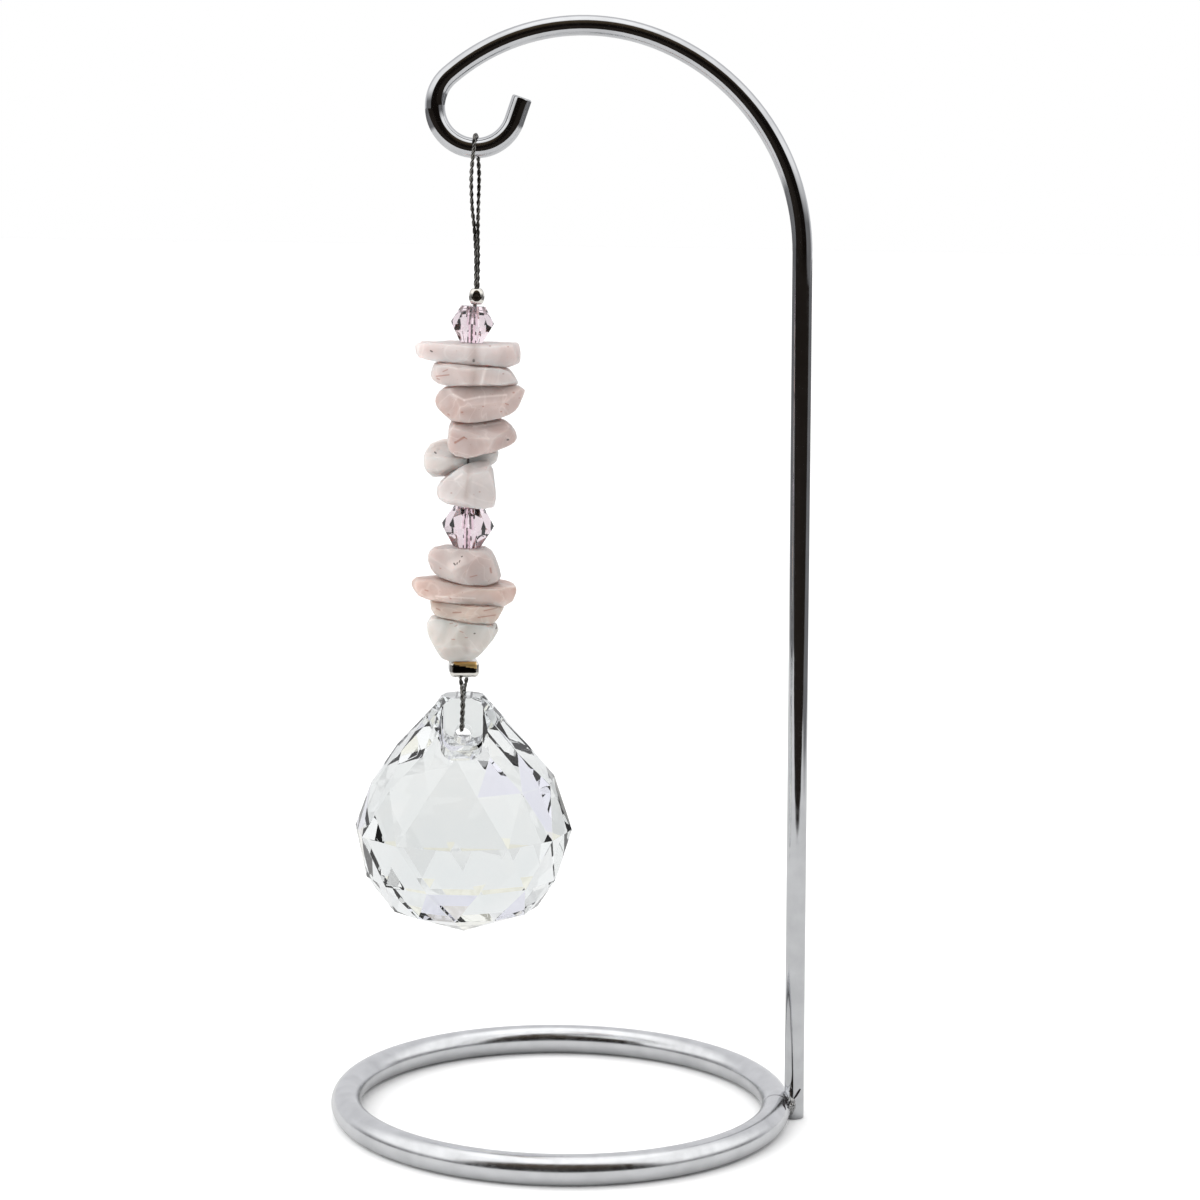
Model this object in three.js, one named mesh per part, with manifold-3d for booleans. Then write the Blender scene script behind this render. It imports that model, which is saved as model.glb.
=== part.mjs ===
// Crystal suncatcher: a chromed hook stand with one string of beads and a faceted ball.
// Millimetres, +Z up. The hook lies in the XZ plane with its upright at +X, and the
// origin is on the table, at the middle of the footprint of ring and upright.

import * as THREE from 'three';
import { mergeVertices } from 'three/addons/utils/BufferGeometryUtils.js';
import Module from 'manifold-3d';

const wasm = await Module();
wasm.setup();

// Stand
const ringRadius = 29.9;        // centreline of the base ring
const ringRodRadius = 2.05;
const rodRadius = 1.35;         // rod of the upright, arch and hook
const weldSet = 0.75;           // how far the upright is set into the ring
const weldGap = 0.3;            // clear space left round the upright in its notch
const footRise = 0.1;           // the upright's cut end stays just off the table
const uprightHeight = 120;
const uprightLean = 0.84;       // degrees, towards the string
const archRise = { radius: 30.34, turn: 69.1 };
const archFall = { radius: 27.52, turn: 61.4 };
const hookRadius = 5.43;        // centreline
const hookTurn = 210.3;
const hookTip = 3.25;

// String and its wire. Heights along a leg are shares of loopDrop or ballDrop.
const stringLean = 0.75;        // degrees off plumb, foot of the string away from the upright
const wireRadius = 0.25;        // two plies side by side, inside the beads
const legRadius = 0.2;          // each leg of the two open loops
const legSpread = 0.3;          // legs lie this far to each side of the string
const hookClearance = 0.2;      // between a loop's wire and what it bears on
const loopDrop = 18.7;          // from the hook's centreline down to the crimp
const legsPart = 0.36;          // the upper legs lie together up to here
const legsOpen = 0.72;          // and are this share of the way apart
const openShare = 0.58;         // by this height
const legsLeave = 0.1;          // the lower legs come out of the bead this far down
const holeEase = 0.6;           // bend of a lower leg into the ball's hole
const boreRadius = 0.6;
const beadGap = 0.15;           // clear space between neighbours on the string

// Crimp and bicones
const crimp = { radius: 1.05, end: 0.76, height: 2.1, across: 0.6 };
const upperBicone = { radius: 3.0, end: 1.62, height: 5.0, sides: 8, tilt: -3, across: 0.12 };
const lowerBicone = { radius: 3.68, end: 1.95, height: 5.7, sides: 8, tilt: -3, across: 0.12 };

// Square bead
const squareBead = { width: 4.0, height: 2.35, corner: 0.7, edge: 0.35, turn: 6 };

// Quartz chips, top to bottom. height is the length of string that a chip takes up,
// and centre is the middle of the stone: beside the bore, below the seam above it and
// behind the bore. sides are its worn faces seen from the front, as [direction in
// degrees, distance]. front and back are its depth, and seam is the face below it,
// as degrees of rise to the right and of rise to the back.
const chipsAbove = [
  { height: 2.74, centre: [-0.2, 1.3, 0.3], front: 3.6, back: 3.6, seam: [-4.8, 3],
    sides: [[90, 1.5], [193, 7.0], [266, 1.5], [354, 6.9]] },
  { height: 3.07, centre: [0.15, 1.5, -0.3], front: 3.8, back: 3.6, seam: [1.0, -4],
    sides: [[41, 4.4], [83, 1.6], [158, 5.1], [244, 3.1], [267, 1.8], [348, 7.2]] },
  { height: 4.36, centre: [1.25, 2.1, -0.4], front: 4.2, back: 4.2, seam: [4.0, 10],
    sides: [[91, 2.3], [143, 5.0], [233, 4.1], [282, 2.5], [336, 5.0]] },
  { height: 4.69, centre: [1.3, 2.2, -0.9], front: 3.5, back: 4.0, seam: [6.0, 26],
    sides: [[26, 4.6], [74, 3.0], [95, 2.7], [173, 4.0], [244, 3.9], [288, 2.5]] },
  { height: 2.03, centre: [-1.4, 0.8, 2.0], front: 3.3, back: 3.2, seam: [13.0, -24],
    sides: [[73, 3.0], [94, 2.6], [152, 4.2], [218, 4.6], [284, 2.3], [347, 5.2]] },
  { height: 5.14, centre: [0.2, 2.6, -0.2], front: 3.5, back: 3.4, seam: [-6.0, 0],
    sides: [[8, 3.4], [127, 2.9], [189, 4.5], [262, 2.6], [319, 4.7]] },
];
const chipsBelow = [
  { height: 4.45, centre: [-0.1, 2.3, -0.3], front: 3.7, back: 3.8, seam: [-5.4, 8],
    sides: [[21, 4.0], [88, 2.4], [130, 4.8], [199, 4.6], [253, 2.5], [279, 3.1]] },
  { height: 2.89, centre: [0.0, 1.4, 0], front: 4.0, back: 4.0, seam: [-4.0, 5],
    sides: [[77, 2.4], [88, 1.5], [131, 5.8], [232, 4.5], [265, 1.6], [339, 6.5]] },
  { height: 2.49, centre: [0.5, 0.95, 0.2], front: 3.8, back: 3.8, seam: [-7.2, 3],
    sides: [[88, 1.7], [187, 5.1], [262, 1.7], [336, 4.2]] },
  { height: 5.57, centre: [-0.55, 2.45, 0], front: 4.0, back: 4.0, seam: [2.5, 0],
    sides: [[52, 5.0], [82, 2.5], [149, 5.1], [209, 3.6], [280, 3.3], [321, 3.6]] },
];
const stoneWear = 7;            // higher is sharper between the worn faces
const bevels = 3;               // slanted faces on a stone's front, and as many on its back
const bevelTilt = 48;           // degrees out of the front plane
const bevelDepth = 0.88;        // share of the squared stone's corner that a bevel leaves
const bevelStagger = 37;        // degrees that the bevels turn from one stone to the next

// Crystal ball: rows of facet corners as [height below the neck's top, radius],
// every second row turned by half a facet.
const ballFacets = 12;
const ballTurn = -4.7;          // degrees
const ballTilt = 0.6;           // degrees, neck away from the upright
const ballDrop = 2.65;          // from the square bead down to the neck
const ballRows = [
  [0, 2.9], [1.7, 4.3], [7.0, 9.1], [11.7, 12.7], [18.5, 15.0], [24.9, 13.45], [29.4, 10.3],
];
const ballTip = 33.2;
const neckHalf = 2.6;           // half thickness of the flattened neck
const recess = { width: 5.6, depth: 7.3, corner: 1.6 };
const crossHole = { radius: 1.15, drop: 5.3 };

// Facet counts
const rodSides = 10;
const ringSides = 12;
const ringSteps = 64;
const wireSides = 6;
const holeSides = 12;
const barrelSteps = 4;
const roundingSteps = 4;
const stoneDetail = 3;

const degrees = Math.PI / 180;
const footX = ringRadius + ringRodRadius + rodRadius - weldSet;
const ringOuter = ringRadius + ringRodRadius;
const ringCentreX = -(footX + rodRadius - ringOuter) / 2;

// Closed geometry with shared corners, ready for joining and cutting.
function welded(geometry) {
  const bare = geometry.clone();
  bare.deleteAttribute('normal');
  bare.deleteAttribute('uv');
  return mergeVertices(bare, 1e-5);
}

function toSolid(geometry) {
  const bare = welded(geometry);
  const vertProperties = new Float32Array(bare.attributes.position.array);
  const triVerts = new Uint32Array(bare.index.array);
  return new wasm.Manifold(new wasm.Mesh({ numProp: 3, vertProperties, triVerts }));
}

function toGeometry(solid) {
  const mesh = solid.getMesh();
  const geometry = new THREE.BufferGeometry();
  const corners = new Float32Array(mesh.vertProperties);
  geometry.setAttribute('position', new THREE.BufferAttribute(corners, 3));
  geometry.setIndex(new THREE.BufferAttribute(new Uint32Array(mesh.triVerts), 1));
  return geometry;
}

// Round section with a flat side down. Its flats touch the true circle from outside.
function roundSection(radius, sides) {
  const reach = radius / Math.cos(Math.PI / sides);
  const shape = new THREE.Shape();
  for (let i = 0; i < sides; i++) {
    const angle = ((i + 0.5) / sides - 0.25) * 2 * Math.PI;
    const point = [reach * Math.cos(angle), reach * Math.sin(angle)];
    if (i === 0) shape.moveTo(...point);
    else shape.lineTo(...point);
  }
  shape.closePath();
  return shape;
}

// A curve whose stations stay where they are given, so bends get more of them.
class StationCurve extends THREE.Curve {
  constructor(stations) {
    super();
    this.stations = stations;
  }

  getPoint(t, target = new THREE.Vector3()) {
    const last = this.stations.length - 1;
    const place = Math.min(Math.max(t, 0), 1) * last;
    const index = Math.min(Math.floor(place), last - 1);
    return target.lerpVectors(this.stations[index], this.stations[index + 1], place - index);
  }

  getPointAt(t, target) {
    return this.getPoint(t, target);
  }

  getTangentAt(t, target = new THREE.Vector3()) {
    const last = this.stations.length - 1;
    const index = Math.round(t * last);
    const before = this.stations[Math.max(index - 1, 0)];
    const after = this.stations[Math.min(index + 1, last)];
    return target.copy(after).sub(before).normalize();
  }
}

function tube(stations, radius, sides) {
  const path = new StationCurve(stations);
  const settings = { steps: stations.length - 1, bevelEnabled: false, extrudePath: path };
  return new THREE.ExtrudeGeometry(roundSection(radius, sides), settings);
}

// Centreline of the bent rod, from its foot to the tip of the hook, in the XZ plane.
function bentRod() {
  let heading = (90 + uprightLean) * degrees;
  let place = new THREE.Vector3(footX, 0, footRise);
  let centre;
  const stations = [place];

  function straight(length, steps) {
    const along = new THREE.Vector3(Math.cos(heading), 0, Math.sin(heading));
    const start = place;
    for (let i = 1; i <= steps; i++) {
      place = start.clone().addScaledVector(along, length * i / steps);
      stations.push(place);
    }
  }

  function bend(radius, turn, steps) {
    const inward = new THREE.Vector3(-Math.sin(heading), 0, Math.cos(heading));
    const start = heading;
    centre = place.clone().addScaledVector(inward, radius);
    for (let i = 1; i <= steps; i++) {
      heading = start + turn * degrees * i / steps;
      const outward = new THREE.Vector3(Math.sin(heading), 0, -Math.cos(heading));
      place = centre.clone().addScaledVector(outward, radius);
      stations.push(place);
    }
  }

  straight(uprightHeight / Math.cos(uprightLean * degrees) - footRise, 3);
  bend(archRise.radius, archRise.turn, 9);
  bend(archFall.radius, archFall.turn, 8);
  bend(hookRadius, hookTurn, 16);
  const hookCentre = centre;
  straight(hookTip, 1);
  return { stations, hookCentre };
}

const rodLine = bentRod();
const hookSeat = rodLine.hookCentre.clone().setZ(rodLine.hookCentre.z - hookRadius);

// A point of the string at a height, or a point beside it.
function onString(z, across = 0) {
  const x = hookSeat.x - (hookSeat.z - z) * Math.tan(stringLean * degrees);
  return new THREE.Vector3(x + across, 0, z);
}

// Rod standing beside the ring, with its hook over the ring's middle.
function hookRod() {
  return tube(rodLine.stations, rodRadius, rodSides);
}

// Closed ring with a flat underside, notched where the upright is welded in.
function baseRing() {
  const section = roundSection(ringRodRadius, ringSides).getPoints();
  const profile = section.map((p) => new THREE.Vector2(p.x + ringRadius, p.y + ringRodRadius));
  const ring = new THREE.LatheGeometry(profile, ringSteps);
  ring.rotateX(Math.PI / 2);
  const notch = tube(rodLine.stations.slice(0, 2), rodRadius + weldGap, rodSides);
  const below = notch.clone().translate(0, 0, -ringRodRadius);
  return toGeometry(toSolid(ring).subtract(toSolid(notch)).subtract(toSolid(below)));
}

// Height of every bead's top on the string, worked down from the hook.
const chips = [...chipsAbove, ...chipsBelow];
const crimpTop = hookSeat.z - loopDrop;
const crimpBottom = crimpTop - crimp.height;
const upperBiconeTop = crimpBottom - beadGap;
const chipTops = [];
let stackZ = upperBiconeTop - upperBicone.height;
for (const chip of chipsAbove) {
  chipTops.push(stackZ);
  stackZ -= chip.height;
}
const lowerBiconeTop = stackZ;
stackZ -= lowerBicone.height;
for (const chip of chipsBelow) {
  chipTops.push(stackZ);
  stackZ -= chip.height;
}
const squareBeadTop = stackZ;
const squareBeadBottom = squareBeadTop - squareBead.height;
const neckTop = squareBeadBottom - ballDrop;
const holeZ = neckTop - crossHole.drop;

// Straight bore along the string.
function bore(top, bottom, across = 0) {
  const line = [onString(top, across), onString(bottom, across)];
  return toSolid(tube(line, boreRadius, holeSides));
}

// Both legs of a loop as one run of stations, from the front foot over to the back one.
function loopStations(leg, steps) {
  const stations = [];
  for (const side of [-1, 1]) {
    const run = new THREE.CatmullRomCurve3(leg(side), false, 'centripetal').getPoints(steps);
    if (side > 0) run.reverse();
    stations.push(run);
  }
  return stations;
}

// One wire: a loop over the hook, a run through the beads and a loop through the ball.
function hangingWire() {
  const reach = rodRadius + hookClearance + legRadius;
  const [upFront, downBack] = loopStations((side) => [
    onString(crimpTop - crimp.height / 2, crimp.across).setY(side * legSpread),
    onString(crimpTop + loopDrop * legsPart, crimp.across).setY(side * legSpread),
    onString(crimpTop + loopDrop * legsOpen, crimp.across / 2).setY(side * reach * openShare),
    onString(hookSeat.z).setY(side * reach),
  ], 9);
  const overHook = [];
  const bearing = 8;
  for (let i = 1; i < bearing; i++) {
    const angle = Math.PI * (1 - i / bearing);
    const spot = onString(hookSeat.z + reach * Math.sin(angle));
    overHook.push(spot.setY(reach * Math.cos(angle)));
  }
  const upperLoop = [...upFront, ...overHook, ...downBack];

  const bearingZ = holeZ + crossHole.radius - hookClearance - legRadius;
  const face = neckHalf + hookClearance + legRadius;
  const [downFront, upBack] = loopStations((side) => [
    onString(squareBeadBottom + squareBead.height / 2).setY(side * legSpread),
    onString(squareBeadBottom - ballDrop * legsLeave).setY(side * legSpread),
    onString(neckTop + ballDrop / 2).setY(side * face / 2),
    onString(neckTop + hookClearance + legRadius / 2).setY(side * (face - legRadius)),
    onString(neckTop - ballDrop / 2).setY(side * face),
    onString(bearingZ + holeEase).setY(side * face),
    onString(bearingZ).setY(side * (face - holeEase)),
    onString(bearingZ),
  ], 21);
  const lowerLoop = [...downFront, ...upBack.slice(1)];

  const through = [
    onString(crimpTop - crimp.height / 4, crimp.across),
    onString(upperBiconeTop, (crimp.across + upperBicone.across) / 2),
    onString(upperBiconeTop - upperBicone.height),
    onString(squareBeadBottom + squareBead.height / 4),
  ];
  const wire = toSolid(tube(upperLoop, legRadius, wireSides))
    .add(toSolid(tube(through, wireRadius, wireSides)))
    .add(toSolid(tube(lowerLoop, legRadius, wireSides)));
  return toGeometry(wire);
}

// Small barrel bead, pressed shut over the wire's legs.
function crimpBead() {
  const profile = [new THREE.Vector2(boreRadius, -crimp.height)];
  for (let i = 0; i <= barrelSteps; i++) {
    const share = i / barrelSteps;
    const swell = (crimp.radius - crimp.end) * Math.sin(Math.PI * share);
    profile.push(new THREE.Vector2(crimp.end + swell, crimp.height * (share - 1)));
  }
  profile.push(new THREE.Vector2(boreRadius, 0), profile[0].clone());
  const bead = new THREE.LatheGeometry(profile, holeSides);
  bead.rotateX(Math.PI / 2);
  return bead.translate(...onString(crimpTop, crimp.across).toArray());
}

// Glass bicone: two pyramids with long facets, turned half a facet against each other,
// so that they meet in a zigzag at the waist.
function bicone(size, top) {
  const height = size.height - beadGap;
  const wide = 2 * size.radius - size.end;
  const upper = new THREE.CylinderGeometry(size.end, wide, height, size.sides);
  const lower = new THREE.CylinderGeometry(wide, size.end, height, size.sides);
  lower.rotateY(Math.PI / size.sides);
  for (const part of [upper, lower]) {
    part.rotateX(Math.PI / 2);
    part.rotateY(-size.tilt * degrees);
    part.translate(...onString(top - size.height / 2, size.across).toArray());
  }
  const drill = bore(top + size.height, top - 2 * size.height, size.across);
  return toGeometry(toSolid(upper).intersect(toSolid(lower)).subtract(drill));
}

// The plane between two chips, tilted across and in depth. It passes through the string.
function seamNormal([across, depth]) {
  const normal = new THREE.Vector3(-Math.tan(across * degrees), -Math.tan(depth * degrees), 1);
  return normal.normalize();
}

// How far a stone reaches in a direction: its worn faces limit it together, and the
// power rounds the corners between them.
function wornReach(direction, faces) {
  let sum = 0;
  for (const face of faces) {
    const lean = Math.max(0, direction.dot(face.normal)) / face.distance;
    sum += lean ** stoneWear;
  }
  return sum ** (-1 / stoneWear);
}

// Slanted worn faces on the front and the back of a stone of the given half sizes.
function bevelFaces(half, index) {
  const faces = [];
  const flat = Math.cos(bevelTilt * degrees);
  const deep = Math.sin(bevelTilt * degrees);
  for (const side of [-1, 1]) {
    for (let i = 0; i < bevels; i++) {
      const backTurn = side > 0 ? 180 / bevels : 0;
      const turn = (360 * i / bevels + bevelStagger * (index % bevels) + backTurn) * degrees;
      const normal = new THREE.Vector3(flat * Math.cos(turn), side * deep, flat * Math.sin(turn));
      const away = new THREE.Vector3(...normal.toArray().map(Math.abs));
      faces.push({ normal, distance: half.dot(away) * bevelDepth });
    }
  }
  return faces;
}

// Tumbled stone, rounded by its worn faces and cut flat where its neighbours rest.
function quartzChip(index) {
  const chip = chips[index];
  const top = chipTops[index];
  const bottom = top - chip.height;
  const [across, drop, behind] = chip.centre;
  const middle = onString(top - drop, across).setY(behind);
  const underBicone = index === 0 || index === chipsAbove.length;

  const faces = chip.sides.map(([angle, distance]) => {
    const turn = angle * degrees;
    return { normal: new THREE.Vector3(Math.cos(turn), 0, Math.sin(turn)), distance };
  });
  faces.push({ normal: new THREE.Vector3(0, -1, 0), distance: chip.front });
  faces.push({ normal: new THREE.Vector3(0, 1, 0), distance: chip.back });

  const seams = [
    { z: top, side: 1, tilt: underBicone ? [0, 0] : chips[index - 1].seam },
    { z: bottom, side: -1, tilt: chip.seam },
  ];
  const rests = seams.map(({ z, side, tilt }) => {
    const normal = seamNormal(tilt).multiplyScalar(side);
    return { normal, distance: normal.dot(onString(z).sub(middle)) - beadGap / 2 };
  });

  const halfAlong = (x, y, z) => {
    const axis = new THREE.Vector3(x, y, z);
    return (wornReach(axis, faces) + wornReach(axis.clone().negate(), faces)) / 2;
  };
  const half = new THREE.Vector3(halfAlong(1, 0, 0), halfAlong(0, 1, 0), halfAlong(0, 0, 1));
  faces.push(...bevelFaces(half, index));

  const stone = new THREE.IcosahedronGeometry(1, stoneDetail);
  const corners = stone.attributes.position;
  const corner = new THREE.Vector3();
  for (let i = 0; i < corners.count; i++) {
    corner.fromBufferAttribute(corners, i).multiply(half).normalize();
    let reach = wornReach(corner, faces);
    for (const rest of rests) {
      const lean = corner.dot(rest.normal);
      if (lean > 0) reach = Math.min(reach, rest.distance / lean);
    }
    corner.multiplyScalar(reach).add(middle);
    corners.setXYZ(i, ...corner.toArray());
  }
  return toGeometry(toSolid(stone).subtract(bore(top + chip.height, bottom - chip.height)));
}

// Cast silver bead, square with rounded edges, threaded on the wire.
function squareBeadBody() {
  const inset = squareBead.width / 2 - squareBead.corner;
  const outline = new THREE.Shape();
  outline.absarc(inset, inset, squareBead.corner, 0, Math.PI / 2);
  outline.absarc(-inset, inset, squareBead.corner, Math.PI / 2, Math.PI);
  outline.absarc(-inset, -inset, squareBead.corner, Math.PI, Math.PI * 1.5);
  outline.absarc(inset, -inset, squareBead.corner, Math.PI * 1.5, Math.PI * 2);
  const body = new THREE.ExtrudeGeometry(outline, {
    depth: squareBead.height - beadGap - 2 * squareBead.edge,
    curveSegments: roundingSteps,
    bevelThickness: squareBead.edge,
    bevelSize: squareBead.edge,
    bevelOffset: -squareBead.edge,
    bevelSegments: 2,
  });
  body.translate(0, 0, squareBead.edge);
  body.rotateZ(squareBead.turn * degrees);
  body.translate(...onString(squareBeadBottom).toArray());
  const drill = bore(squareBeadTop + squareBead.height, squareBeadBottom - squareBead.height);
  return toGeometry(toSolid(body).subtract(drill));
}

// Cutter for one of the neck's flats: square above, with round corners at its foot.
function recessCutter(side) {
  const foot = recess.corner - recess.depth;
  const inset = recess.width / 2 - recess.corner;
  const outline = new THREE.Shape();
  outline.moveTo(recess.width / 2, recess.depth);
  outline.lineTo(-recess.width / 2, recess.depth);
  outline.absarc(-inset, foot, recess.corner, Math.PI, Math.PI * 1.5);
  outline.absarc(inset, foot, recess.corner, Math.PI * 1.5, Math.PI * 2);
  outline.closePath();
  const depth = Math.max(...ballRows.map(([, radius]) => radius));
  const settings = { depth, curveSegments: roundingSteps, bevelEnabled: false };
  const cutter = new THREE.ExtrudeGeometry(outline, settings);
  cutter.rotateX(Math.PI / 2);
  cutter.translate(0, side < 0 ? -neckHalf : neckHalf + depth, 0);
  return toSolid(cutter);
}

// Clear faceted ball: staggered rows of triangles from a flattened neck to a point.
function crystalBall() {
  const corners = [];
  ballRows.forEach(([drop, radius], row) => {
    const halfFacet = row % 2 === 0 ? 0 : 180 / ballFacets;
    for (let i = 0; i < ballFacets; i++) {
      const angle = (ballTurn + halfFacet + 360 * i / ballFacets - 90) * degrees;
      corners.push(radius * Math.cos(angle), radius * Math.sin(angle), -drop);
    }
  });
  const crown = corners.length / 3;
  const point = crown + 1;
  corners.push(0, 0, 0);
  corners.push(0, 0, -ballTip);

  const triangles = [];
  const lowest = crown - ballFacets;
  for (let i = 0; i < ballFacets; i++) {
    const next = (i + 1) % ballFacets;
    triangles.push(crown, i, next);
    triangles.push(point, lowest + next, lowest + i);
    for (let above = 0; above < lowest; above += ballFacets) {
      const below = above + ballFacets;
      if (above / ballFacets % 2 === 0) {
        triangles.push(above + i, below + i, above + next);
        triangles.push(above + next, below + i, below + next);
      } else {
        triangles.push(above + i, below + i, below + next);
        triangles.push(above + i, below + next, above + next);
      }
    }
  }
  const body = new THREE.BufferGeometry();
  body.setAttribute('position', new THREE.BufferAttribute(new Float32Array(corners), 3));
  body.setIndex(triangles);

  const ends = [-1, 1].map((side) => new THREE.Vector3(0, side * 2 * neckHalf, -crossHole.drop));
  const ball = toSolid(body)
    .subtract(recessCutter(-1))
    .subtract(recessCutter(1))
    .subtract(toSolid(tube(ends, crossHole.radius, holeSides)));
  const geometry = toGeometry(ball);
  geometry.rotateY(-ballTilt * degrees);
  return geometry.translate(...onString(neckTop).toArray());
}

const chrome = { color: 0xc9cbcd, roughness: 0.08, metalness: 1 };
const silver = { color: 0xbdbcb6, roughness: 0.2, metalness: 1 };
const clearGlass = { color: 0xf2f6f6, roughness: 0.02, transparent: true, opacity: 0.4 };
const roseGlass = { color: 0xe6cbdc, roughness: 0.03, transparent: true, opacity: 0.6 };
const chipColors = [
  0xd5cccb, 0xcfc3c1, 0xcbb6b0, 0xcab7b2, 0xd2ccc9,
  0xd0c9c5, 0xd1c3c0, 0xd0b5ae, 0xc9b1a7, 0xd0cdc9,
];

const suncatcher = new THREE.Group();
suncatcher.position.x = ringCentreX;

function addPiece(name, geometry, look) {
  const piece = new THREE.Mesh(geometry, new THREE.MeshStandardMaterial(look));
  piece.name = name;
  suncatcher.add(piece);
}

addPiece('base_ring', baseRing(), chrome);
addPiece('hook_rod', hookRod(), chrome);
addPiece('hanging_wire', hangingWire(), silver);
addPiece('crimp_bead', crimpBead(), silver);
addPiece('upper_bicone', bicone(upperBicone, upperBiconeTop), roseGlass);
addPiece('lower_bicone', bicone(lowerBicone, lowerBiconeTop), roseGlass);
chipColors.forEach((color, index) => {
  addPiece(`quartz_chip_${index + 1}`, quartzChip(index), { color, roughness: 0.35 });
});
addPiece('square_bead', squareBeadBody(), silver);
addPiece('crystal_ball', crystalBall(), clearGlass);

export default suncatcher;
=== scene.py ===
import math
import bmesh
import bpy
from mathutils import Matrix, Vector, noise


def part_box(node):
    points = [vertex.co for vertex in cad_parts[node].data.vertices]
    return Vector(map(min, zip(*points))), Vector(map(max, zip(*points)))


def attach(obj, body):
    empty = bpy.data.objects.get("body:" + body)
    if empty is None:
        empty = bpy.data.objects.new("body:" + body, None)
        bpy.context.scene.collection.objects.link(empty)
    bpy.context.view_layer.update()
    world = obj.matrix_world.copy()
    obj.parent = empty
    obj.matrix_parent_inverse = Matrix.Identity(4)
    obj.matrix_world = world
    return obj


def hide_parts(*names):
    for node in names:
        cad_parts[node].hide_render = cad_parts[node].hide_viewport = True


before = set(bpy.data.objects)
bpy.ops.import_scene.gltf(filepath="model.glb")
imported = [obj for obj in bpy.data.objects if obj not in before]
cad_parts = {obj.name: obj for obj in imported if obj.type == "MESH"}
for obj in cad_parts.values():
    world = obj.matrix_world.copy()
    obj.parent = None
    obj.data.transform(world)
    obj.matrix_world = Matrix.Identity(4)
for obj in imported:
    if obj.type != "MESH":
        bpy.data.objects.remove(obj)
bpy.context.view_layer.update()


# Base ring
# A closed ring of 4 mm steel rod, bent round a former, butt-welded where its ends meet,
# polished and chromed. It lies on the table and carries the whole stand.
mm = 0.001
ring_centre = Vector((-0.975, 0, 2.05)) * mm
ring_radius = 29.9 * mm
ring_rod = 2.05 * mm
ring_steps = 240
round_sides = 40
butt_weld_angle = math.radians(354.4)
joint_groove = 0.09 * mm
joint_spread = 0.25
joint_steps = (-0.9, -0.45, -0.2, 0, 0.2, 0.45, 0.9)


def swept(path, radii, sides, closed=False):
    """Corners and faces of a round section carried along a path."""
    corners = []
    faces = []
    count = len(path)
    out = None
    for i, place in enumerate(path):
        if closed:
            ahead = path[(i + 1) % count] - path[i - 1]
        else:
            ahead = path[min(i + 1, count - 1)] - path[max(i - 1, 0)]
        ahead = ahead.normalized()
        if out is None:
            out = ahead.orthogonal()
        out = (out - ahead * out.dot(ahead)).normalized()
        across = ahead.cross(out)
        for k in range(sides):
            turn = 2 * math.pi * k / sides
            corners.append(place + radii[i] * (math.cos(turn) * out + math.sin(turn) * across))
    for i in range(count if closed else count - 1):
        here = i * sides
        there = (i + 1) % count * sides
        for k in range(sides):
            k2 = (k + 1) % sides
            faces.append((here + k, here + k2, there + k2, there + k))
    if not closed:
        faces.append(tuple(reversed(range(sides))))
        faces.append(tuple((count - 1) * sides + k for k in range(sides)))
    return corners, faces


def made(name, parts, smooth=True):
    """One object out of one or more (corners, faces) parts."""
    corners = []
    faces = []
    for part_corners, part_faces in parts:
        first = len(corners)
        corners.extend(part_corners)
        faces.extend(tuple(first + k for k in face) for face in part_faces)
    mesh = bpy.data.meshes.new(name)
    mesh.from_pydata(corners, [], faces)
    mesh.update()
    if smooth:
        mesh.shade_smooth()
    piece = bpy.data.objects.new(name, mesh)
    bpy.context.scene.collection.objects.link(piece)
    return piece


def srgb(red, green, blue):
    """A colour given as 0 to 255, as light for the shader."""
    light = []
    for value in (red, green, blue):
        share = value / 255
        light.append(share / 12.92 if share <= 0.04045 else ((share + 0.055) / 1.055) ** 2.4)
    return (*light, 1)


def new_finish(name):
    finish = bpy.data.materials.new(name)
    finish.use_nodes = True
    nodes = finish.node_tree.nodes
    return finish, nodes, finish.node_tree.links, nodes["Principled BSDF"]


def grain(nodes, links, scale, detail=4, distortion=0.0, shift=0.0):
    """Cloudy pattern fixed to the piece. Its grains are about 1 / scale metres wide."""
    place = nodes.new("ShaderNodeTexCoord")
    moved = nodes.new("ShaderNodeMapping")
    moved.inputs["Location"].default_value = (shift, shift * 0.7, shift * 1.3)
    cloud = nodes.new("ShaderNodeTexNoise")
    cloud.inputs["Scale"].default_value = scale
    cloud.inputs["Detail"].default_value = detail
    cloud.inputs["Distortion"].default_value = distortion
    links.new(place.outputs["Object"], moved.inputs["Vector"])
    links.new(moved.outputs["Vector"], cloud.inputs["Vector"])
    return cloud.outputs["Fac"]


def between(nodes, links, value, low, high, from_low=0.3, from_high=0.7):
    spread = nodes.new("ShaderNodeMapRange")
    spread.inputs["From Min"].default_value = from_low
    spread.inputs["From Max"].default_value = from_high
    spread.inputs["To Min"].default_value = low
    spread.inputs["To Max"].default_value = high
    links.new(value, spread.inputs["Value"])
    return spread.outputs["Result"]


def blended(nodes, links, share, first, second):
    """Colour between two colours or sockets, by share."""
    mix = nodes.new("ShaderNodeMix")
    mix.data_type = "RGBA"
    for socket, value in ((mix.inputs[6], first), (mix.inputs[7], second)):
        if isinstance(value, tuple):
            socket.default_value = value
        else:
            links.new(value, socket)
    links.new(share, mix.inputs[0])
    return mix.outputs[2]


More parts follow.
